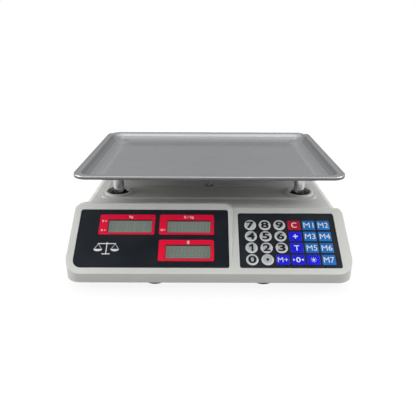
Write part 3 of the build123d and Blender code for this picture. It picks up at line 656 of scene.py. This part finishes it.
# one material for each material slot of the CAD record
MATS = {
    "case_plastic": moulded("case_plastic_grained", srgb(213, 214, 210), rough=0.44,
                            grain=0.35, grain_mm=0.5, vary=0.035, dust=0.10),
    "base_plastic": moulded("base_plastic_grained", srgb(34, 34, 36), rough=0.5,
                            grain=0.5, grain_mm=0.6, vary=0.12),
    "black_plastic": moulded("black_plastic_grained", srgb(26, 26, 27), rough=0.42,
                             grain=0.6, grain_mm=0.5, vary=0.15),
    "rocker_plastic": moulded("rocker_plastic_satin", srgb(22, 22, 24), rough=0.28,
                              grain=0.25, grain_mm=0.4, vary=0.1, coat=0.3),
    "battery_plastic": moulded("battery_casing", srgb(38, 40, 46), rough=0.4,
                               grain=0.4, grain_mm=0.5, vary=0.12),
    "cable_plastic": moulded("ribbon_cable_jacket", srgb(150, 152, 156), rough=0.4,
                             grain=0.2, grain_mm=0.3, vary=0.05),
    "black_rubber": rubber(),
    "zinc_steel": metal("zinc_plated_steel", srgb(196, 198, 202), rough=0.3,
                        grain_scale=420.0, bump=0.3, vary=0.10, grime=0.25),
    "cast_aluminium": metal("cast_aluminium", srgb(168, 170, 172), rough=0.52,
                            grain_scale=520.0, bump=0.9, vary=0.10, grime=0.3),
    "cell_aluminium": metal("milled_aluminium", srgb(206, 208, 210), rough=0.28,
                            brush=(1.0, 0.03, 1.0), grain_scale=1400.0, aniso=0.4,
                            bump=0.4, vary=0.07),
    "post_chrome": metal("polished_post", srgb(222, 223, 225), rough=0.09,
                         brush=(1.0, 1.0, 0.04), grain_scale=1600.0, bump=0.10, vary=0.03),
    "pan_stainless": stainless(),
    "circuit_board": board(),
    "keypad_film": film(),
    "lcd_glass": lcd(),
    "level_acrylic": vial(),
    # key faces: the rim colours are painted highlights, the slant shade colours painted shade
    "key_silver": key_face("key_face_silver", srgb(196, 200, 202), rim=srgb(232, 234, 235),
                           slant_shade=srgb(160, 164, 168)),
    "key_red": key_face("key_face_red", srgb(188, 8, 46), rim=srgb(200, 14, 52),
                        slant_shade=srgb(160, 4, 36)),
    "key_blue": key_face("key_face_blue", srgb(4, 12, 236), rim=srgb(10, 22, 246),
                         slant_shade=srgb(2, 8, 200)),
    "key_cyan": key_face("key_face_light_blue", srgb(4, 114, 198), rim=srgb(12, 126, 210),
                         slant_shade=srgb(2, 96, 176)),
    "smoked_lens": lens("display_lens_print", LENS, FRONT_WINDOWS),
}
rear_lens_print = lens("rear_lens_print", REAR, REAR_WINDOWS)

for node, obj in NODES.items():
    mat = MATS[SLOT_OF[node]]
    if node == "rear_lens":
        mat = rear_lens_print
    if not obj.material_slots:
        obj.data.materials.append(mat.material)
    for slot in obj.material_slots:
        slot.link = "OBJECT"
        slot.material = mat.material

# --------------------------------------------------------------------------
# printed front panel
# --------------------------------------------------------------------------
FRONT_FRAMES = [                     # u0, v0, u1, v1 round each front window, mm
    (-136.5, 44.0, -67.7, 72.1),
    (-62.0, 44.0, 5.8, 72.1),
    (-61.2, 9.0, 5.6, 36.9),
]
FRAME_RADIUS, WINDOW_RADIUS = 2.0, 0.5
KEYLINE_WIDTH, KEYLINE_RADIUS, KEYLINE_TOP = 0.55, 0.8, 0.10

# painted shade: the red frames are lighter towards the lower edge of the lens and darker towards
# its top, where the pan shades the console
front_red = ink("frame_ink_red", srgb(232, 0, 50), rough=0.34, coat=0.08,
                painted_shade_grade=(tuple(LENS.v), (LENS.v0 + 8 * MM, LENS.v0 + 74 * MM),
                       srgb(255, 0, 54), srgb(232, 0, 58)))
front_red.set(Specular_IOR_Level=0.3)
white_ink = ink("print_ink_white", srgb(236, 238, 240), rough=0.32, coat=0.4, vary=0.02)
black_ink = ink("print_ink_black", srgb(12, 14, 18), rough=0.3, coat=0.5, vary=0.05)


def window_frame(name, face, outer, window, mat):
    plate(name, face, rounded(*outer, FRAME_RADIUS), INK_BASE, INK_TOP, mat,
          hole=rounded(*window, WINDOW_RADIUS))


def caption(name, text, face, u, v, height, wide, bold=0.012):
    lettering(name, text, face, u, v, INK_TOP, height, white_ink, wide=wide, bold=bold)


for i, (outer, window) in enumerate(zip(FRONT_FRAMES, FRONT_WINDOWS), start=1):
    window_frame(f"window_frame_{i}", LENS, outer, window, front_red)
    # fine dark keyline round each opening
    u0, v0, u1, v1 = window
    keyline = rounded(u0 - KEYLINE_WIDTH, v0 - KEYLINE_WIDTH,
                      u1 + KEYLINE_WIDTH, v1 + KEYLINE_WIDTH, KEYLINE_RADIUS)
    plate(f"window_keyline_{i}", LENS, keyline, 0.0, KEYLINE_TOP,
          ink(f"keyline_ink_{i}", srgb(120, 8, 32), rough=0.3, coat=0.5),
          hole=rounded(*window, WINDOW_RADIUS))

caption("caption_weight", "kg", LENS, -98.0, 68.6, height=4.4, wide=1.15)
caption("caption_unit_price", "$ / kg", LENS, -25.5, 68.2, height=4.4, wide=1.15)
caption("caption_total", "$", LENS, -25.5, 33.3, height=4.4, wide=1.3)


def pointer(name, u, v, size):
    """Small triangle pointing along +X at the window beside it."""
    points = [(u - size, v - size * 0.75), (u + size, v), (u - size, v + size * 0.75)]
    plate(name, LENS, points, INK_TOP - 0.01, INK_TOP + 0.06, white_ink)


for state, text, v in (("tare", "T", 62.4), ("zero", "0", 49.8)):
    caption(f"mark_{state}", text, LENS, -132.6, v, height=2.7, wide=1.2, bold=0.015)
    pointer(f"pointer_{state}", -128.6, v, size=1.1)
READY_RADIUS = 1.25
raised_ring("mark_ready", LENS, -58.6, 50.4, INK_TOP, READY_RADIUS, READY_RADIUS * 0.22, 0.08,
            white_ink, seg=32)
pointer("pointer_ready", -55.1, 50.4, size=1.0)


def balance_sign(u, v):
    """Two-pan balance; the tops differ slightly so crossing strokes don't coincide."""
    beam_v, pan_v = v + 5.2, v - 1.6
    bars = (                         # name, u0, v0, u1, v1 from the centre, radius, top
        ("b1", -0.5, -7.6, 0.5, 7.6, 0.4, 0.07),
        ("b2", -11.0, 5.0, 11.0, 6.1, 0.4, 0.071),
        ("b3", -5.0, -8.6, 5.0, -7.4, 0.5, 0.072),
    )
    parts = [plate(name, LENS, rounded(u + u0, v + v0, u + u1, v + v1, radius), 0.0, top,
                   white_ink)
             for name, u0, v0, u1, v1, radius, top in bars]
    for side in (-1, 1):
        pan_u = u + side * 10.2
        for lean in (-1, 1):         # the two cords of a pan
            foot_u = pan_u + lean * 4.4
            cord = [(pan_u - 0.28, beam_v), (foot_u - 0.28, pan_v),
                    (foot_u + 0.28, pan_v), (pan_u + 0.28, beam_v)]
            parts.append(plate("b4", LENS, cord, 0.0, 0.069, white_ink))
        bowl = [(pan_u + 5.2 * math.cos(math.radians(a)), pan_v + 3.0 * math.sin(math.radians(a)))
                for a in range(180, 361, 12)]
        parts.append(plate("b5", LENS, bowl, 0.0, 0.07, white_ink))
    merge("balance_sign", parts, white_ink)


balance_sign(-124.0, 26.0)

# --------------------------------------------------------------------------
# displays behind the lens: faint unlit segments
# --------------------------------------------------------------------------
HALF_W, HALF_H, BAR = 2.9, 5.8, 0.95       # digit half width, half height, bar width, mm
BAR_GAP, DIGIT_SLANT = 0.10, 0.12
FIRST_DIGIT, LAST_DIGIT = 5.5, 5.0         # digit centres in from the window's two ends
DIGIT_BARS = (                             # u0, v0, u1, v1 from the digit's centre
    (-HALF_W + BAR, HALF_H - BAR, HALF_W - BAR, HALF_H),
    (-HALF_W + BAR, -BAR / 2, HALF_W - BAR, BAR / 2),
    (-HALF_W + BAR, -HALF_H, HALF_W - BAR, -HALF_H + BAR),
    (-HALF_W, BAR_GAP, -HALF_W + BAR, HALF_H - BAR * 0.6),
    (HALF_W - BAR, BAR_GAP, HALF_W, HALF_H - BAR * 0.6),
    (-HALF_W, -HALF_H + BAR * 0.6, -HALF_W + BAR, -BAR_GAP),
    (HALF_W - BAR, -HALF_H + BAR * 0.6, HALF_W, -BAR_GAP),
)

segment_ink = ink("lcd_unlit_segment", srgb(160, 165, 158), rough=0.3, coat=0.3, vary=0.02)
# painted glow: the unlit segments glow faintly like the display under them
segment_ink.set(Emission_Color=LCD_PAINTED_GLOW, Emission_Strength=0.07)


def digit_row(name, prefix, face, window, glass, digits, points):
    """A row of seven-segment digits on the glass, with decimal points between if asked."""
    u0, v0, u1, v1 = window
    w = face.height_of(glass)
    low, high = w - 0.01, w + 0.02
    first, last, middle = u0 + FIRST_DIGIT, u1 - LAST_DIGIT, (v0 + v1) / 2
    parts = []
    for k in range(digits):
        u = first + (last - first) * k / (digits - 1)
        for i, (a0, b0, a1, b1) in enumerate(DIGIT_BARS):
            outline = [(u + a + DIGIT_SLANT * b, middle + b)
                       for a, b in ((a0, b0), (a1, b0), (a1, b1), (a0, b1))]
            parts.append(plate(f"{prefix}_{k}_{i}", face, outline, low, high, segment_ink))
        if points and k < digits - 1:
            dot = rounded(u + 3.5, middle - 6.0, u + 4.3, middle - 5.2, 0.2)
            parts.append(plate("dp", face, dot, low, high, segment_ink))
    merge(name, parts, segment_ink)


for i, window in enumerate(FRONT_WINDOWS):
    digit_row(f"front_lcd_segments_{i + 1}", f"s{i}", LENS, window, "front_lcds",
              digits=5 if i == 0 else 6, points=True)

# --------------------------------------------------------------------------
# key legends, each riding with its own key
# --------------------------------------------------------------------------
FIGURE_HEIGHT = 9.9
# figure 1, drawn as an outline: u, v in mm from 0.4 right of the key's centre
FIGURE_ONE = [(1.7, -4.9), (1.7, 4.9), (-0.3, 4.9), (-3.5, 2.9), (-3.5, 0.6), (-0.8, 2.0),
              (-0.8, -4.9)]
WHITE_LEGENDS = {                    # key: text, height, width (None: natural), bold
    "key_clear": ("C", 7.6, None, 0.012),
    "key_add": ("+", 6.2, 6.2, 0.02),
    "key_tare": ("T", 6.8, 6.2, 0.02),
    "key_store": ("M+", 6.4, 12.4, 0.0),
    "key_zero": ("0", 6.8, 5.4, 0.02),
    **{f"key_m{k}": (f"M{k}", 7.4, 12.6, 0.0) for k in range(1, 8)},
}


def key_at(node):
    """Centre u, v and top height w of a key on the keypad film, in mm."""
    low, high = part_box(node)
    centre = (low + high) / 2
    return centre.x / MM, (centre.dot(FILM.v) - FILM.v0) / MM, FILM.height_of(node)


def key_print(name, node, outline, w, mat):
    return plate(name, FILM, outline, w, w + LETTER_THICK, mat, BODY_OF[node])


def key_rim(node):
    raised_ring(f"rim_{node}", FILM, *key_at(node), 6.75, 0.32, 0.10, MATS["key_silver"],
                BODY_OF[node], seg=56)


def key_dome(node, mat):
    raised_ring(f"dome_{node}", FILM, *key_at(node), 5.9, 0.5, 0.20, mat, BODY_OF[node],
                seg=40, arc=EMBOSS_ARC)


for digit in "0123456789":
    node = f"key_{digit}"
    u, v, w = key_at(node)
    if digit == "1":
        key_print(f"legend_{node}", node, [(u + 0.4 + a, v + b) for a, b in FIGURE_ONE], w,
                  black_ink)
    else:
        lettering(f"legend_{node}", digit, FILM, u, v, w, FIGURE_HEIGHT, black_ink,
                  BODY_OF[node], width=9.8 if digit in "4780" else 9.2, bold=0.03)
    key_rim(node)

u, v, w = key_at("key_point")
key_print("legend_key_point", "key_point", round_points(u, v, 1.75, range(0, 360, 12)), w,
          black_ink)
key_rim("key_point")

for node, (text, height, width, bold) in WHITE_LEGENDS.items():
    u, v, w = key_at(node)
    lettering(f"legend_{node}", text, FILM, u, v - 0.2, w, height, white_ink, BODY_OF[node],
              width=width, bold=bold)
    if node != "key_clear":
        key_dome(node, MATS[SLOT_OF[node]])

# the arrows that close on the zero key's figure
u, v, w = key_at("key_zero")
for side, suffix in ((-1, "l"), (1, "r")):
    arrow = [(u + side * 6.2, v - 2.0), (u + side * 6.2, v + 1.6), (u + side * 3.6, v - 0.2)]
    key_print(f"legend_zero_arrow_{suffix}", "key_zero", arrow[::-side], w, white_ink)


def sun_legend():
    """Backlight key: a disc with eight tapering rays."""
    u, v, w = key_at("key_light")
    v -= 0.3
    parts = [key_print("s", "key_light", round_points(u, v, 1.7, range(0, 360, 15)), w,
                       white_ink)]
    ray = ((2.4, -0.35), (3.7, -0.25), (3.7, 0.25), (2.4, 0.35))     # outward, sideways
    for k in range(8):
        a = math.radians(45 * k)
        cos, sin = math.cos(a), math.sin(a)
        points = [(u + cos * r - sin * s, v + sin * r + cos * s) for r, s in ray]
        parts.append(key_print("s", "key_light", points, w, white_ink))
    merge("legend_key_light", parts, white_ink, BODY_OF["key_light"])


sun_legend()
key_dome("key_light", MATS["key_blue"])

# --------------------------------------------------------------------------
# rear display print
# --------------------------------------------------------------------------
REAR_MARGIN_U, REAR_MARGIN_BELOW, REAR_MARGIN_ABOVE = 2.6, 2.4, 7.2
REAR_TOP = REAR_CENTRE_V + REAR_HALF_HEIGHT

rear_red = ink("rear_frame_ink_red", srgb(206, 4, 44), rough=0.28, coat=0.6)
for i, window in enumerate(REAR_WINDOWS):
    u0, v0, u1, v1 = window
    outer = (u0 - REAR_MARGIN_U, v0 - REAR_MARGIN_BELOW,
             u1 + REAR_MARGIN_U, v1 + REAR_MARGIN_ABOVE)
    window_frame(f"rear_frame_{i + 1}", REAR, outer, window, rear_red)
    digit_row(f"rear_lcd_segments_{i + 1}", f"r{i}", REAR, window, "rear_lcds",
              digits=6, points=False)
caption("rear_caption_weight", "kg", REAR, -REAR_PITCH, REAR_TOP + 3.4, height=4.0, wide=1.15)
caption("rear_caption_price", "$ / kg", REAR, 0.0, REAR_TOP + 3.2, height=4.0, wide=1.15)
caption("rear_caption_total", "$", REAR, REAR_PITCH, REAR_TOP + 3.4, height=4.0, wide=1.3)

# --------------------------------------------------------------------------
# bubble level
# --------------------------------------------------------------------------
BUBBLE_U, BUBBLE_V, BUBBLE_RADIUS = 0.35, -0.2, 2.1
BUBBLE_BASE, BUBBLE_RISE = -0.02, 0.12
BUBBLE_RINGS, BUBBLE_SEGMENTS = 7, 28


def bubble_material():
    mat = Mat("level_bubble", srgb(226, 234, 190))
    tone = mat.mix(mat.remap(mat.noise(scale=400.0)), srgb(214, 224, 160), srgb(236, 242, 206))
    return mat.set(Base_Color=tone, Roughness=0.06, Coat_Weight=1.0)


def air_bubble(face):
    """A shallow dome, a little off the centre of the level."""
    verts = []
    for r in range(BUBBLE_RINGS):
        a = math.radians(90 * r / (BUBBLE_RINGS - 1))
        radius = BUBBLE_RADIUS * math.cos(a)
        for k in range(BUBBLE_SEGMENTS):
            t = 2 * math.pi * k / BUBBLE_SEGMENTS
            verts.append(face.at(BUBBLE_U + radius * math.cos(t),
                                 BUBBLE_V + radius * math.sin(t),
                                 BUBBLE_BASE + BUBBLE_RISE * math.sin(a)))
    faces = quad_bands(BUBBLE_RINGS, BUBBLE_SEGMENTS)
    faces.append(tuple(reversed(range(BUBBLE_SEGMENTS))))
    add("level_air_bubble", verts, faces, bubble_material(), "case", angle=60)


low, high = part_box("bubble_level")
level_top = Flat((low.x + high.x) / 2, (low.y + high.y) / 2, high.z)
raised_ring("level_bezel", level_top, 0, 0, 0.0, 6.9, 0.9, 0.25, MATS["case_plastic"])
raised_ring("level_target", level_top, 0, 0, 0.0, 2.7, 0.22, 0.06, black_ink, seg=40)
air_bubble(level_top)


# --------------------------------------------------------------------------
# floor
# --------------------------------------------------------------------------
def floor_material():
    """Lit paper to the camera, a plain matt floor to every other ray."""
    mat = Mat("studio_floor", srgb(186, 186, 186))
    cloud = mat.noise(scale=3.0, detail=2.0)
    mat.set(Base_Color=mat.mix(mat.remap(cloud), srgb(184, 184, 184), srgb(188, 188, 188)),
            Roughness=0.9, Specular_IOR_Level=0.1)
    paper = mat.node("ShaderNodeEmission", Strength=1.12)
    camera_ray = mat.node("ShaderNodeLightPath", out="Is Camera Ray")
    # the paper takes over fully away from the scale, leaving some shadow close to it
    radius = mat.vector_math("LENGTH", mat.position())
    far = mat.remap(radius, span=(0.20, 0.60), to=(0.80, 1.0))
    mat.finish(mat.node("ShaderNodeMixShader", mat.math("MULTIPLY", camera_ray, far),
                        mat.shader.outputs[0], paper))
    return mat


FLOOR_HALF = 14.0
paper_floor = floor_material()
mesh = bpy.data.meshes.new("floor")
mesh.from_pydata([(x * FLOOR_HALF, y * FLOOR_HALF, 0)
                  for x, y in ((-1, -1), (1, -1), (1, 1), (-1, 1))], [], [(0, 1, 2, 3)])
floor = bpy.data.objects.new("floor", mesh)
mesh.materials.append(paper_floor.material)
COLLECTION.objects.link(floor)


# --------------------------------------------------------------------------
# world
# --------------------------------------------------------------------------
def studio_world():
    """Soft dome, bright at both sides and rising behind; plain white to the camera."""
    world = bpy.data.worlds.new("studio")
    bpy.context.scene.world = world
    world.use_nodes = True
    tree = Tree(world.node_tree, "ShaderNodeOutputWorld")

    def calc(operation, a, b=0.0, clamp=False):
        return tree.node("ShaderNodeMath", a, b,
                         props={"operation": operation, "use_clamp": clamp})

    generated = tree.node("ShaderNodeTexCoord", out="Generated")
    x, y, z = tree.node("ShaderNodeSeparateXYZ", generated).node.outputs
    side = calc("POWER", calc("ABSOLUTE", x), 1.5)
    top = calc("MAXIMUM", z, 0.0)
    back = calc("MAXIMUM", y, 0.0)
    rise = calc("MULTIPLY", calc("SUBTRACT", z, 0.16), 3.2, clamp=True)

    # brightness: an even base, then the shares of the sides, the top and the back
    base, side_share, top_share = 0.065, 0.50, 0.02
    back_share, back_rise_share = 0.19, 0.46
    level = calc("ADD", base, calc("MULTIPLY", side, side_share))
    level = calc("ADD", level, calc("MULTIPLY", top, top_share))
    back_level = calc("ADD", back_share, calc("MULTIPLY", rise, back_rise_share))
    level = calc("ADD", level, calc("MULTIPLY", back, back_level))

    white = (1.0, 1.0, 1.0, 1.0)
    dome = tree.node("ShaderNodeBackground", Color=white, Strength=level)
    plain = tree.node("ShaderNodeBackground", Color=white, Strength=1.0)
    camera_ray = tree.node("ShaderNodeLightPath", out="Is Camera Ray")
    tree.finish(tree.node("ShaderNodeMixShader", camera_ray, dome, plain))


studio_world()


# --------------------------------------------------------------------------
# lights
# --------------------------------------------------------------------------
def area(name, location, target, size, watts, diffuse=True, glossy=True, receivers=None):
    """Rectangular light aimed at a target, in metres."""
    light = bpy.data.lights.new(name, "AREA")
    light.shape = "RECTANGLE"
    light.size, light.size_y = size
    light.energy = watts
    obj = bpy.data.objects.new(name, light)
    obj.location = location
    aim = Vector(target) - Vector(location)
    obj.rotation_euler = aim.to_track_quat("-Z", "Y").to_euler()
    COLLECTION.objects.link(obj)
    obj.visible_diffuse = diffuse
    obj.visible_glossy = glossy
    if receivers:
        obj.light_linking.receiver_collection = receivers


# one lamp behind and above, split so its diffuse and glossy strengths differ
top_back = {"location": (0.0, 0.82, 1.3), "target": (0, -0.05, 0.08), "size": (2.4, 0.45)}
area("top_back", **top_back, watts=26.0, glossy=False)
area("top_card", **top_back, watts=5.5, diffuse=False)

# reflections for the pan alone, kept off the glossy console
only_pan = bpy.data.collections.new("pan_card_receivers")
only_pan.objects.link(NODES["pan"])
area("pan_card", location=(0.0, -0.05, 1.35), target=(0, 0.0, 0.1), size=(2.2, 1.2),
     watts=6.0, diffuse=False, receivers=only_pan)
area("pan_strip", location=(0.0, -1.05, 1.20), target=(0, 0.0, 0.1), size=(2.2, 0.4),
     watts=8.0, diffuse=False, receivers=only_pan)

area("side_left", location=(-1.2, -0.2, 0.75), target=(0, -0.02, 0.05), size=(0.9, 0.9),
     watts=10.0)
area("side_right", location=(1.2, -0.2, 0.75), target=(0, -0.02, 0.05), size=(0.9, 0.9),
     watts=9.0)
area("front_low", location=(0.0, -2.0, 0.80), target=(0, 0.0, 0.09), size=(2.2, 0.25),
     watts=2.2)
area("front_top", location=(0.0, -0.75, 1.35), target=(0, -0.14, 0.03), size=(1.8, 0.22),
     watts=2.0)

# --------------------------------------------------------------------------
# camera and view
# --------------------------------------------------------------------------
CAMERA_PLACE = (-0.00347, -0.57167, 0.28766)
YAW, PITCH, ROLL = math.radians(-0.22), math.radians(23.77), math.radians(0.3)

camera_data = bpy.data.cameras.new("camera")
camera_data.sensor_width = 36.0
camera_data.lens = 36.02
camera_data.clip_start, camera_data.clip_end = 0.01, 60.0
camera = bpy.data.objects.new("camera", camera_data)
forward = Vector((-math.sin(YAW) * math.cos(PITCH), math.cos(YAW) * math.cos(PITCH),
                  -math.sin(PITCH)))
level_right = Vector((math.cos(YAW), math.sin(YAW), 0.0))
level_up = level_right.cross(forward)
right = level_right * math.cos(ROLL) + level_up * math.sin(ROLL)
up = -level_right * math.sin(ROLL) + level_up * math.cos(ROLL)
camera.matrix_world = Matrix([*zip(right, up, -forward, CAMERA_PLACE), (0, 0, 0, 1)])
COLLECTION.objects.link(camera)
bpy.context.scene.camera = camera

view = bpy.context.scene.view_settings
view.view_transform = "Standard"
view.look = "None"
view.exposure = 0.0
view.gamma = 1.0
